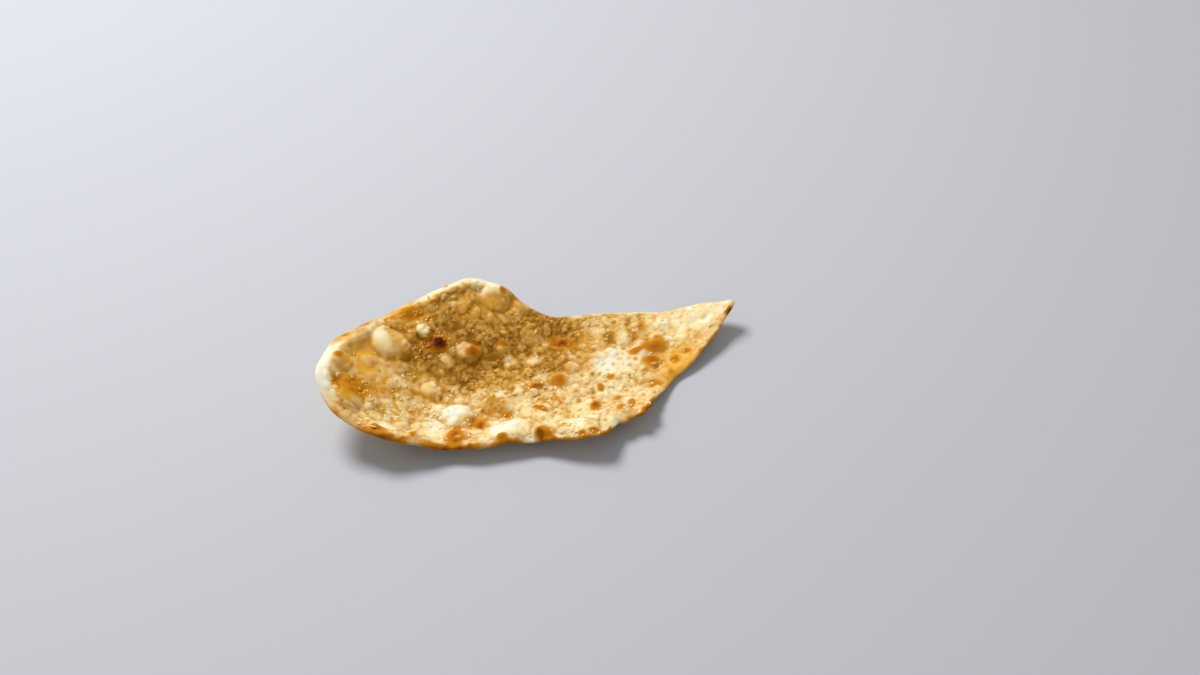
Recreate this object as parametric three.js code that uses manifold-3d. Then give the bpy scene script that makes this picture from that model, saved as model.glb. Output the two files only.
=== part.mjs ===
// A piece of garlic naan: one thin sheet of leavened dough, rounded at the left and pointed at the right.
// The sheet sags to a flat hollow that it rests on, and its sides, round end and tip stand up round it.
// Baked blisters, small bubbles and chips of minced garlic are fused to its upper face.
// Millimetres, +Z up. The origin is on the table, under the middle of the piece.

import * as THREE from "three";
import { mergeVertices } from "three/addons/utils/BufferGeometryUtils.js";
import Module from "manifold-3d";

// The sheet.
const THICKNESS = 3.0;
const EDGE_ROUND = 3.6; // width over which the edge rounds off
const RIM_SWELL = 1.8; // extra thickness of the puffed rim
const RIM_SWELL_AT = 4.0; // distance of the thickest part of the rim from the edge
const RIM_SWELL_REACH = 3.6;
const RIM_FADES = [-60, 40]; // x where the puffed rim starts to fade, and where it is gone
const END_SWELL = 1.8; // what the round end has over that
const END_FADES = [-106, -84];
const EDGE_WAVES = [
  { height: 0.45, count: 11, turn: 0.4 },
  { height: 0.3, count: 23, turn: 2.1 },
];
// The torn stretch of the edge, from and to as shares of the way round, has closer waves as well.
const TORN_EDGE = { from: 0.865, to: 0.945 };
const TORN_WAVES = [
  { height: 0.7, count: 61, turn: 0.5 },
  { height: 0.45, count: 97, turn: 1.9 },
];

// The outline seen from above, anticlockwise from the right-hand side.
const MIDDLE = new THREE.Vector2(0, -2);
const OUTLINE = [
  [88, 13],
  [100, 29],
  [112, 49], // the pointed tip
  [97, 53],
  [60, 55],
  [24, 50],
  [8, 47],
  [-6, 50],
  [-19, 57],
  [-37, 57], // the raised back corner
  [-51, 48],
  [-79, 28],
  [-91, 14],
  [-105, -2],
  [-110, -20], // the round end
  [-107, -35],
  [-97, -46],
  [-77, -54],
  [-54, -55],
  [-26, -53],
  [0, -49],
  [30, -50],
  [40, -48],
  [46, -39],
  [61, -29],
  [68, -14],
  [78, 1],
];

// The sag. Each side of the sheet rises away from the hollow, in the way it faces (degrees from +X),
// from a line that lies a distance off, at a slope that it reaches softly.
const HOLLOW = new THREE.Vector2(2, -6);
const SIDES = [
  { faces: 128, from: 17, slope: 0.5, soft: 8 }, // back left side
  { faces: -72, from: 9, slope: 0.4, soft: 7 }, // front side
  { faces: 212, from: 60, slope: 0.42, soft: 9 }, // round end
  { faces: 12, from: 76, slope: 0.42, soft: 8 }, // tip
];
const FLAT_DEPTH = 4.0; // how far the sag is cut off to leave the flat hollow
const FLAT_SOFT = 2.0;
const SETTLE = 0.8; // the underside is pressed flat on the table up to this height

// Long low waves of the sheet, strongest at its edge.
const WAVES = [
  { height: 1.0, length: 46, faces: 25, turn: 0.6 },
  { height: 0.8, length: 33, faces: 100, turn: 2.2 },
  { height: 0.5, length: 21, faces: 160, turn: 4.0 },
];
const WAVES_REACH = 22; // distance from the edge at which the waves are gone

// The blisters that stand out: place, reach and height.
const BLISTERS = [
  { x: -75.8, y: 8.2, reach: 10.5, height: 5.0 }, // big pale bubble near the round end
  { x: -65.4, y: 16.7, reach: 3.8, height: 2.4 },
  { x: -59.8, y: 20.1, reach: 4.4, height: 2.8 },
  { x: -51.5, y: 15.9, reach: 4.6, height: 2.8 }, // burnt bubble
  { x: -35.0, y: 14.8, reach: 6.5, height: 3.6 }, // bubble with a brown cap
  { x: -54.0, y: -12.2, reach: 6.0, height: 2.6 },
  { x: -39.3, y: -27.8, reach: 9.5, height: 4.4 }, // white bubble on the front side
  { x: -18.0, y: -18.8, reach: 9.0, height: 3.2 },
  { x: -7.0, y: -38.5, reach: 9.0, height: 3.6 },
  { x: -37.5, y: -44.6, reach: 7.0, height: 2.8 }, // front edge, browned
  { x: -12.5, y: -47.0, reach: 5.5, height: 2.2 },
  { x: 7.4, y: -43.5, reach: 6.5, height: 3.4 }, // front edge, scorched
  { x: 29.2, y: -43.0, reach: 7.0, height: 2.4 },
  { x: 5.6, y: -23.1, reach: 7.0, height: 2.4 },
  { x: 3.0, y: -6.1, reach: 5.0, height: 2.2 },
  { x: 15.3, y: 0.7, reach: 5.5, height: 2.4 },
  { x: 37.0, y: -5.3, reach: 4.8, height: 2.0 },
  { x: 35.4, y: -22.3, reach: 5.0, height: 2.0 },
  { x: 61.0, y: 25.0, reach: 6.5, height: 2.2 }, // long scorched blister, of two domes
  { x: 67.5, y: 27.2, reach: 6.0, height: 2.4 },
  { x: 65.5, y: 14.3, reach: 5.5, height: 2.0 },
  { x: -1.2, y: 30.8, reach: 7.0, height: 2.4 },
  { x: 50.9, y: 35.3, reach: 7.5, height: 2.4 },
  { x: -21.5, y: 49.0, reach: 8.5, height: 3.2 }, // blister on the back corner
  { x: -95.4, y: -32.3, reach: 8.0, height: 2.6 },
  { x: -99.5, y: -12.0, reach: 5.5, height: 2.0 },
];
const BLISTER_STEEPNESS = 0.8; // 1 is a parabola, and less is a steeper wall

// Lesser blisters, scattered by a seeded rule.
const BLISTER_SEED = 2024;
const LESSER_BLISTERS = 38;
const LESSER_REACH = [3.8, 6.8];
const LESSER_HEIGHT = [0.18, 0.36]; // as a share of the reach
const SPREAD = 0.93; // scattered things keep inside this share of the way to the edge

// Chips of minced garlic, baked into the crust, the largest first.
const GARLIC_SEED = 77;
const GARLIC_BAND = { runs: 16, offset: -6, reach: 28 }; // its way in degrees, and its half width
const GARLIC_ELSEWHERE = 0.35; // how thickly they lie far from the band, as a share
const CHIPS = 94;
const CHIP_LENGTH = [4.8, 3.0]; // of the first and the last
const CHIP_WIDTH = 0.74; // as a share of the length
const CHIP_HEIGHT = 0.52;
const CHIP_SINK = 0.05; // how far its middle lies under the crust, as a share of its length
// Steps of the plastic number, which spread points evenly over a square.
const EVEN_STEP = [0.7548776662, 0.569840291];

// The grid that the sheet is made on.
const CELLS_LONG = 60;
const CELLS_ACROSS = 34;
const EDGE_CROWDING = 0.22; // makes the cells next to the edge narrower
const SLOPE_STEP = 0.5; // distance over which slopes are measured
const OUTLINE_STEPS = 2300; // steps in which the outline is measured

const CRUST = new THREE.MeshStandardMaterial({
  color: 0xe3bd72,
  roughness: 0.62,
  metalness: 0,
});

// A repeatable run of numbers from 0 to 1.
function drawer(seed) {
  let state = seed;
  return () => {
    state = (state * 1664525 + 1013904223) % 4294967296;
    return state / 4294967296;
  };
}

function smoothstep(low, high, value) {
  const t = Math.min(1, Math.max(0, (value - low) / (high - low)));
  return t * t * (3 - 2 * t);
}

function mix(pair, share) {
  return pair[0] + (pair[1] - pair[0]) * share;
}

// The outline as a smooth closed curve, measured along its length.
const outlineCurve = new THREE.CatmullRomCurve3(
  OUTLINE.map(([x, y]) => new THREE.Vector3(x, y, 0)),
  true,
  "catmullrom",
  0.5,
);
outlineCurve.arcLengthDivisions = OUTLINE_STEPS;

function wavesAt(waves, turned) {
  return waves.reduce((sum, w) => {
    return sum + w.height * Math.sin(2 * Math.PI * w.count * turned + w.turn);
  }, 0);
}

// How far the edge stands out of the smooth outline: small waves all round, and closer ones where it is torn.
function edgeOffset(turned) {
  const way = (turned - TORN_EDGE.from) / (TORN_EDGE.to - TORN_EDGE.from);
  const torn = way > 0 && way < 1 ? Math.sin(Math.PI * way) : 0;
  return wavesAt(EDGE_WAVES, turned) + torn * wavesAt(TORN_WAVES, turned);
}

// A point of the edge, a share of the way round, and the way the edge runs there.
function edgeAt(share) {
  const turned = ((share % 1) + 1) % 1;
  const point = outlineCurve.getPointAt(turned);
  const along = outlineCurve.getTangentAt(turned);
  const offset = edgeOffset(turned);
  return {
    point: new THREE.Vector2(point.x + offset * along.y, point.y - offset * along.x),
    along: new THREE.Vector2(along.x, along.y),
  };
}

// Takes a point of a square, each way from -1 to 1, to the sheet seen from above.
// It gives the place and its distance from the edge.
function placeOnSheet(across, up) {
  const u = across * Math.sqrt(1 - (up * up) / 2);
  const v = up * Math.sqrt(1 - (across * across) / 2);
  const share = Math.min(1, Math.hypot(u, v));
  const { point, along } = edgeAt(Math.atan2(v, u) / (2 * Math.PI));
  const spoke = point.clone().sub(MIDDLE);
  const squareness = Math.abs(spoke.x * along.y - spoke.y * along.x);
  return {
    x: MIDDLE.x + spoke.x * share,
    y: MIDDLE.y + spoke.y * share,
    inside: (1 - share) * squareness,
  };
}

function distanceAlong(x, y, degrees) {
  const angle = (degrees * Math.PI) / 180;
  return x * Math.cos(angle) + y * Math.sin(angle);
}

// How high the underside of the sheet hangs over the table.
function sag(x, y, inside) {
  const rise = SIDES.reduce((sum, side) => {
    const out = distanceAlong(x - HOLLOW.x, y - HOLLOW.y, side.faces);
    const ramp = Math.log1p(Math.exp((out - side.from) / side.soft));
    return sum + side.slope * side.soft * ramp;
  }, 0);
  const waves = WAVES.reduce((sum, w) => {
    const phase = (2 * Math.PI * distanceAlong(x, y, w.faces)) / w.length;
    return sum + w.height * Math.sin(phase + w.turn);
  }, 0);
  const wavy = 1 - smoothstep(0, WAVES_REACH, inside);
  const over = rise + wavy * waves - FLAT_DEPTH;
  return 0.5 * (over + Math.hypot(over, FLAT_SOFT)) - SETTLE;
}

// Half the thickness of the sheet without its blisters.
function halfThickness(x, inside) {
  const near = Math.min(1, inside / EDGE_ROUND);
  const rounding = Math.sqrt(1 - (1 - near) ** 2);
  const puffed = RIM_SWELL * (1 - smoothstep(RIM_FADES[0], RIM_FADES[1], x));
  const end = END_SWELL * (1 - smoothstep(END_FADES[0], END_FADES[1], x));
  const swell = Math.exp(-(((inside - RIM_SWELL_AT) / RIM_SWELL_REACH) ** 2));
  return 0.5 * rounding * (THICKNESS + (puffed + end) * swell);
}

const draw = drawer(BLISTER_SEED);
const blisters = [...BLISTERS];
for (let i = 0; i < LESSER_BLISTERS; i++) {
  const across = SPREAD * (2 * draw() - 1);
  const up = SPREAD * (2 * draw() - 1);
  const reach = mix(LESSER_REACH, draw() ** 2);
  const height = reach * mix(LESSER_HEIGHT, draw());
  const { x, y } = placeOnSheet(across, up);
  blisters.push({ x, y, reach, height });
}

// How far the crust is puffed up by blisters.
function puff(x, y) {
  return blisters.reduce((highest, b) => {
    const near = 1 - ((x - b.x) ** 2 + (y - b.y) ** 2) / b.reach ** 2;
    return near > 0 ? Math.max(highest, b.height * near ** BLISTER_STEEPNESS) : highest;
  }, 0);
}

// The way the sheet faces at a place.
function facing(x, y, inside) {
  const here = sag(x, y, inside);
  const slopeX = (sag(x + SLOPE_STEP, y, inside) - here) / SLOPE_STEP;
  const slopeY = (sag(x, y + SLOPE_STEP, inside) - here) / SLOPE_STEP;
  return new THREE.Vector3(-slopeX, -slopeY, 1).normalize();
}

// A point a distance over the middle of the sheet's thickness, or under it.
function pointOff({ x, y, inside }, distance) {
  const middle = new THREE.Vector3(x, y, sag(x, y, inside) + THICKNESS / 2);
  return middle.addScaledVector(facing(x, y, inside), distance);
}

// A point of the upper crust, whose blisters die out at the edge.
function crustPoint(place) {
  const relief = puff(place.x, place.y) * smoothstep(0, EDGE_ROUND, place.inside);
  return pointOff(place, halfThickness(place.x, place.inside) + relief);
}

// A point of the underside, which lies flat where it meets the table.
function undersidePoint(place) {
  const point = pointOff(place, -halfThickness(place.x, place.inside));
  return point.setZ(Math.max(0, point.z));
}

// The sheet as one closed skin: crust and underside on one grid, joined at the points of the edge.
function sheetGeometry() {
  const positions = [];
  const triangles = [];
  const columns = CELLS_LONG + 1;
  const crowd = (step, cells) => {
    const even = (2 * step) / cells - 1;
    return even * (1 + EDGE_CROWDING * (1 - even * even));
  };
  const onEdge = (i, j) => i === 0 || j === 0 || i === CELLS_LONG || j === CELLS_ACROSS;

  const places = [];
  for (let j = 0; j <= CELLS_ACROSS; j++)
    for (let i = 0; i <= CELLS_LONG; i++) {
      const place = placeOnSheet(crowd(i, CELLS_LONG), crowd(j, CELLS_ACROSS));
      places.push({ ...place, joined: onEdge(i, j) });
    }
  for (const place of places) positions.push(...crustPoint(place));
  const underOf = places.map((place, index) => {
    if (place.joined) return index;
    positions.push(...undersidePoint(place));
    return positions.length / 3 - 1;
  });

  for (let j = 0; j < CELLS_ACROSS; j++)
    for (let i = 0; i < CELLS_LONG; i++) {
      const a = j * columns + i;
      const b = a + 1;
      const c = b + columns;
      const d = a + columns;
      // The cell is split so that no triangle has all its corners on the edge.
      const fromCorner = i < CELLS_LONG / 2 === j < CELLS_ACROSS / 2;
      const halves = fromCorner
        ? [[a, b, c], [a, c, d]]
        : [[a, b, d], [b, c, d]];
      for (const [p, q, r] of halves) {
        triangles.push(p, q, r);
        triangles.push(underOf[p], underOf[r], underOf[q]);
      }
    }
  return new THREE.BufferGeometry()
    .setAttribute("position", new THREE.Float32BufferAttribute(positions, 3))
    .setIndex(triangles);
}

// How thickly the garlic lies at a place, as a share: most of it is in a band along the hollow.
function garlicAt(x, y) {
  const across = distanceAlong(x, y, GARLIC_BAND.runs + 90) - GARLIC_BAND.offset;
  return mix([GARLIC_ELSEWHERE, 1], Math.exp(-((across / GARLIC_BAND.reach) ** 2)));
}

// The places, turns and lengths of the chips.
function garlicChips() {
  const pick = drawer(GARLIC_SEED);
  const chips = [];
  for (let step = 1; chips.length < CHIPS; step++) {
    const [across, up] = EVEN_STEP.map((size) => SPREAD * (2 * ((step * size) % 1) - 1));
    const place = placeOnSheet(across, up);
    const kept = pick() < garlicAt(place.x, place.y);
    const turn = 2 * Math.PI * pick();
    if (kept) chips.push({ place, turn, length: mix(CHIP_LENGTH, chips.length / CHIPS) });
  }
  return chips;
}

// A chip is a rough lump, flatter than it is long, that lies half sunk in the crust.
function chipGeometry({ place, turn, length }) {
  const lump = new THREE.IcosahedronGeometry(0.5, 0);
  lump.deleteAttribute("normal");
  lump.deleteAttribute("uv");
  const upright = new THREE.Vector3(0, 0, 1);
  const up = facing(place.x, place.y, place.inside);
  const stand = new THREE.Quaternion().setFromUnitVectors(upright, up);
  const spin = new THREE.Quaternion().setFromAxisAngle(upright, turn);
  const middle = crustPoint(place).addScaledVector(up, -CHIP_SINK * length);
  const size = new THREE.Vector3(length, length * CHIP_WIDTH, length * CHIP_HEIGHT);
  const put = new THREE.Matrix4().compose(middle, stand.multiply(spin), size);
  return mergeVertices(lump).applyMatrix4(put);
}

const wasm = await Module();
wasm.setup();

function solidOf(geometry) {
  return new wasm.Manifold(
    new wasm.Mesh({
      numProp: 3,
      vertProperties: new Float32Array(geometry.attributes.position.array),
      triVerts: new Uint32Array(geometry.index.array),
    }),
  );
}

function geometryOf(solid) {
  const { vertProperties, triVerts } = solid.getMesh();
  return new THREE.BufferGeometry()
    .setAttribute("position", new THREE.Float32BufferAttribute(vertProperties, 3))
    .setIndex(new THREE.BufferAttribute(triVerts, 1));
}

// The naan: the sheet with its garlic chips baked into the crust, with the origin under its middle.
function naan() {
  const sheet = solidOf(sheetGeometry());
  const bread = garlicChips().reduce((whole, chip) => whole.add(solidOf(chipGeometry(chip))), sheet);
  const geometry = geometryOf(bread);
  geometry.computeBoundingBox();
  const { min, max } = geometry.boundingBox;
  geometry.translate(-(min.x + max.x) / 2, -(min.y + max.y) / 2, -min.z);
  const mesh = new THREE.Mesh(geometry, CRUST);
  mesh.name = "naan";
  return mesh;
}

const part = new THREE.Group();
part.add(naan());

export default part;
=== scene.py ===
"""A piece of garlic naan on a pale floor: the baked sheet of dough and the garlic chips on it."""

import math

import bpy
import numpy as np
from bpy.props import FloatProperty, IntProperty, PointerProperty, StringProperty
from mathutils import Matrix, Vector


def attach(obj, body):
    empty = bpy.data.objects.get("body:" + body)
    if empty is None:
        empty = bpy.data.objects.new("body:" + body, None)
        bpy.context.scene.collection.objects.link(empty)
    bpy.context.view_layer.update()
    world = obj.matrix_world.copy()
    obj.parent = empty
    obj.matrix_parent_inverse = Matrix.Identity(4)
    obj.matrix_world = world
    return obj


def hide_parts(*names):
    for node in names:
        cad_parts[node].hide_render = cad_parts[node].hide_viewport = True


bl_info = {
    "name": "Garlic naan",
    "version": (1, 0, 0),
    "blender": (4, 5, 0),
    "location": "View3D > Sidebar > Naan",
    "description": "Models a piece of garlic naan with its blisters, scorch marks and garlic",
    "category": "Object",
}

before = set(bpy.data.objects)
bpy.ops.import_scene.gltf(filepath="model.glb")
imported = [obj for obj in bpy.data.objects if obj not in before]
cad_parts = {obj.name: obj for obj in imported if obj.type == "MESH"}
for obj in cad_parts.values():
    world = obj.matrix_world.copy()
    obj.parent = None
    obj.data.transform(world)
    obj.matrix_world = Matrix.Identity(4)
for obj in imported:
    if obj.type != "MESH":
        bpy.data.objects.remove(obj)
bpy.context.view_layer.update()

MM = 0.001
FRAME_SHIFT = (0.66558, 1.21760, 0.0)  # where the part's origin lies in the outline's millimetres

# The outline seen from above, anticlockwise from the right-hand side, in millimetres.
MIDDLE = (0, -2)  # where the spokes from the edge meet
OUTLINE = [
    (88, 13), (100, 29), (112, 49), (97, 53),  # round the pointed tip
    (60, 55), (24, 50), (8, 47), (-6, 50),
    (-19, 57), (-37, 57),  # the raised back corner
    (-51, 48), (-79, 28), (-91, 14),
    (-105, -2), (-110, -20), (-107, -35), (-97, -46),  # the round end
    (-77, -54), (-54, -55), (-26, -53), (0, -49), (30, -50), (40, -48),
    (46, -39), (61, -29), (68, -14), (78, 1),  # the torn stretch and on to the tip
]
OUTLINE_STEPS = 2300
EDGE_LENGTH = 556  # about the way round, for bumps along it
RUN_STEP = 0.0015  # half of the share of the way round over which its run is measured
EDGE_WAVES = [(0.45, 11, 0.4), (0.3, 23, 2.1)]  # height, count, turn
TORN_EDGE = (0.865, 0.945)  # from and to, as shares of the way round
TORN_WAVES = [(0.7, 61, 0.5), (0.45, 97, 1.9)]

# The sag: each side faces its own way in degrees, starts to rise at a distance, at a slope, softly.
HOLLOW = (2, -6)
SIDES = [
    (128, 17, 0.5, 8),  # back left side
    (-72, 9, 0.4, 7),  # front side
    (212, 60, 0.42, 9),  # round end
    (12, 76, 0.42, 8),  # tip
]
FLAT_DEPTH = 4.0  # the middle is flat up to where the sides have risen this much
FLAT_SOFT = 2.0  # how softly they leave the flat
SETTLE = 0.8  # how far it all sinks onto the floor
WAVES = [(1.0, 46, 25, 0.6), (0.8, 33, 100, 2.2), (0.5, 21, 160, 4.0)]  # height, length, way, turn
WAVES_REACH = 22
SLOPE_STEP = 0.5  # the slope of the sheet is measured over this

# The dough swells towards its rim. Along x the swelling fades out between two places, and what the
# round end has over it between two others.
PUFFED_TO = (-60, 40)
ROUND_END_TO = (-106, -84)
RIM_CREST = 4.0  # how far in from the edge it is highest
RIM_WIDTH = 3.6
END_CREST = 1.2  # further in at the round end
END_WIDTH = 2.6  # wider inward of the crest there

CROWDING = 0.22  # how much closer together the grid's points lie towards the edge
MERGED_WITHIN = 0.000001  # metres

# The blisters that stand out: x, y, reach and height.
BLISTERS = [
    (-75.8, 8.2, 10.5, 5),  # big pale bubble near the round end
    (-65.4, 16.7, 3.8, 2.4),
    (-59.8, 20.1, 4.4, 2.8),
    (-51.5, 15.9, 4.6, 2.8),  # burnt bubble
    (-35, 14.8, 6.5, 3.6),  # bubble with a brown cap
    (-54, -12.2, 6, 2.6),
    (-39.3, -27.8, 9.5, 4.4),  # white bubble on the front side
    (-18, -18.8, 9, 3.2),
    (-7, -38.5, 9, 3.6),
    (-37.5, -44.6, 7, 2.8),  # front edge, browned
    (-12.5, -47, 5.5, 2.2),
    (7.4, -43.5, 6.5, 3.4),  # front edge, scorched
    (29.2, -43, 7, 2.4),
    (5.6, -23.1, 7, 2.4),
    (3, -6.1, 5, 2.2),
    (15.3, 0.7, 5.5, 2.4),
    (37, -5.3, 4.8, 2),
    (35.4, -22.3, 5, 2),
    (61, 25, 6.5, 2.2),  # long scorched blister, of two domes
    (67.5, 27.2, 6, 2.4),
    (65.5, 14.3, 5.5, 2),
    (-1.2, 30.8, 7, 2.4),
    (50.9, 35.3, 7.5, 2.4),
    (-21.5, 49, 8.5, 3.2),  # blister on the back corner
    (-95.4, -32.3, 8, 2.6),
    (-99.5, -12, 5.5, 2),
]
BLISTER_STEEPNESS = 0.8
BLISTER_SEED = 2024
LESSER_BLISTERS = 38
LESSER_REACH = (3.8, 6.8)
LESSER_HEIGHT = (0.18, 0.36)  # as a share of the reach
SPREAD = 0.93  # how near to the edge the seeded ones come, as a share

# Where the crust has caught the heat: x, y, half length, half width, way in degrees, strength, from
# tan at 0.3 through amber at 0.55 and brown at 0.8 to char at 1, and how much paler its middle is.
SCORCHES = [
    (-51.6, 17, 5.8, 5, 10, 1.1, 0.1),  # burnt bubble
    (-57, 14.2, 6, 3, 20, 0.62, 0),
    (-33, 15.6, 5, 3.8, 25, 0.68, 0),  # brown cap
    (-66.5, 29, 9.5, 4.8, 20, 0.44, 0),  # orange patch under the back edge
    (-63, 29.8, 4.4, 3.2, 10, 0.52, 0),
    (-75.5, 24.8, 4.6, 1.6, 25, 0.3, 0),
    (-54.5, 39, 4.2, 1.8, 30, 0.34, 0),
    (-102.5, -11, 3.6, 2.4, 50, 0.46, 0.1),  # round end
    # The next two paint shade on the rim's inner side and the glow inside the round end, in tan.
    (-101.5, -26.5, 2.6, 6, 0, 0.5, 0),
    (-92, -25, 11, 8, 10, 0.4, 0),
    (-84, -21, 6, 3, 20, 0.26, 0),
    (-27.6, -33, 6, 6.6, 10, 0.4, 0),
    (-26, -33.6, 3.1, 5.2, 10, 0.77, 0),
    (-38.6, -46, 6.6, 9.5, 0, 0.62, 0),  # front edge patches
    (-38, -45.4, 3.2, 5, 0, 0.72, 0),
    (-61, -48.5, 2.6, 5.4, 0, 0.5, 0),
    (-78, -50, 5, 3, -10, 0.5, 0),
    (-13.4, -48.6, 2.8, 3.8, 0, 0.46, 0),
    (8.2, -46.2, 6.4, 6.2, 0, 0.48, 0),
    (6.8, -45.8, 3, 4.2, 0, 0.76, 0),
    (28.6, -49, 3, 2.2, 0, 0.52, 0),
    (34.6, -47.6, 3.2, 3, 0, 0.5, 0),
    (-12.2, -26.8, 4.4, 2.2, -10, 0.42, 0),
    (-20.4, -25, 2.8, 3.6, 30, 0.26, 0),
    (6.2, -23.6, 5.4, 2.8, -32, 0.5, 0),
    (3.6, -21.6, 2.8, 1.6, -20, 0.62, 0),
    (12.4, -13.4, 2.4, 1.6, 10, 0.42, 0),
    (4, -14.8, 2.2, 1.4, 0, 0.36, 0),
    (15.6, -17.2, 1.8, 2.2, 0, 0.4, 0.2),
    (25.4, -15.2, 2, 2.2, 0, 0.36, 0.2),
    (3, -5.6, 4.8, 3.2, 10, 0.76, 0),
    (14.6, -0.2, 5.4, 5, -10, 0.5, 0),
    (14.6, 1.8, 3.4, 2, 0, 0.62, 0),
    (42.8, 3, 2.6, 2.6, 0, 0.42, 0.2),
    (37.2, -6.2, 2.6, 4, 10, 0.56, 0.5),
    (35.4, -22.6, 3.8, 6, 0, 0.66, 0),
    (35, -21.8, 2.4, 3.4, 0, 0.78, 0),
    (46.6, -15.2, 3.4, 3, 10, 0.4, 0.1),
    (54, -20.6, 2.4, 3.4, 0, 0.42, 0.2),
    (48.6, -27, 3, 2.4, 0, 0.44, 0.3),
    (66.8, 25.8, 10, 5.6, 14, 0.46, 0),  # long scorch
    (67.4, 25.2, 7.4, 3.6, 14, 0.56, 0),
    (57, 23, 6.4, 2.6, 8, 0.44, 0),
    (70, 31, 4.8, 4, 0, 0.3, 0),
    (65.4, 14.6, 5.4, 5.2, 0, 0.64, 0),
    (78.6, 15.6, 3.6, 4.2, 0, 0.56, 0),
    (85.6, 20.6, 3.2, 2.4, 20, 0.54, 0),
    (67, -3.4, 5, 4, 30, 0.44, 0),
    (76, 5, 2.6, 2.4, 0, 0.26, 0),
    (56.6, 0, 1.6, 8, 0, 0.24, 0),
    (15.6, 28.2, 8, 4.4, 4, 0.74, 0),  # smear on the back side
    (10.6, 30.6, 3.4, 4.2, 30, 0.54, 0),
    (2.6, 33.6, 2.6, 2.6, 0, 0.3, 0.3),
    (-17.4, 24, 4, 2, 40, 0.3, 0),
    (-40, 34, 4, 2.2, 30, 0.3, 0),
    (59.4, 41, 1.8, 6.4, -8, 0.32, 0),
    (54.6, 34.6, 4.4, 1.6, 50, 0.28, 0),
    (26, 30, 1.8, 8, -6, 0.26, 0),
    (-18, 53, 2.4, 3.4, -20, 0.56, 0),
    (109, 43.4, 2.2, 3.2, -30, 0.84, 0),  # dark tip
]

# The rim's browning: from and to as shares of the way round, strength, width in from the edge.
BROWNED_EDGES = [
    (0.595, 0.63, 0.34, 2.6),  # front left
    (0.625, 0.7, 0.7, 3.6),  # front side
    (0.7, 0.8, 0.62, 2.8),
    (0.79, 0.865, 0.5, 2),
    (0.86, 0.95, 0.7, 2.2),  # torn stretch
    (0.945, 1, 0.4, 1.6),  # front right
    (0, 0.06, 0.34, 1.6),
    (0.055, 0.09, 0.5, 2.2),  # tip
    (0.09, 0.31, 0.2, 1.6),  # back right side
    (0.42, 0.52, 0.32, 1.8),  # back left side
]

# How far the rim is baked: from and to as shares of the way round, how far, width in from the edge.
RIM_BAKE = [
    (0.515, 0.585, 0, 4.4),  # the round end's fat pale rim, painted floury white partly as a highlight
    (0.585, 0.64, 0.42, 3),  # front left
    (0.43, 0.52, 0.4, 2),  # back left side
    (0.355, 0.43, 0.14, 2.4),
    (0.322, 0.355, 0.1, 3),  # back corner
    (0.1, 0.24, 0.34, 1.6),  # back right side
    (0.7, 0.86, 0.1, 2),  # front side
]
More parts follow.
